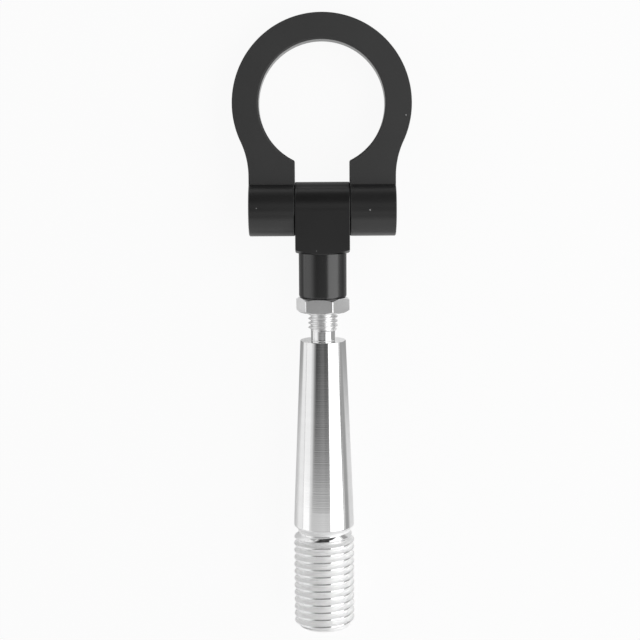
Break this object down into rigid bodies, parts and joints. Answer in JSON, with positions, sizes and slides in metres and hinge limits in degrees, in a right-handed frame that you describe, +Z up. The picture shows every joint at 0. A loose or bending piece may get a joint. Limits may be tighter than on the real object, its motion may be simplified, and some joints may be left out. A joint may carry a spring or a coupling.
{
  "type": "folding tow eye",
  "caption": "Screw-in towing eye: a flat ring that folds on a hinge block, locked by a jam nut on a tapered turned shank with a coarse thread.",
  "frame": {"origin": "on the surface that it lies on, below the middle of its box", "axes": "+Y from the thread to the ring, +Z up from the surface, +X along the hinge bolt towards its head"},
  "size_m": [0.0592, 0.2084, 0.0209],
  "materials": {
    "black_anodised_ring": "black anodised, fine satin",
    "black_anodised_block": "black anodised, fine satin",
    "black_steel": "black oxide",
    "plated_nut": "bright zinc plated",
    "bright_turned_steel": "bright, turned and lightly polished"
  },
  "bodies": {
    "head": {"hinge_block": "black_anodised_block"},
    "ring": {"tow_ring": "black_anodised_ring", "hinge_bolt": "black_steel"},
    "screw_shank": {"shank": "bright_turned_steel", "jam_nut": "plated_nut"}
  },
  "joints": [
    {"name": "ring_fold", "type": "hinge", "parent": "head", "child": "ring", "pos_m": [0, 0.03971, 0.009], "axis": [1, 0, 0], "range_deg": [-161.2, 168.8]},
    {"name": "head_turn", "type": "hinge", "parent": "head", "child": "screw_shank", "pos_m": [0, 0.03971, 0.009], "axis": [0, -0.9999, 0.0116], "range_deg": [-180, 180]}
  ]
}
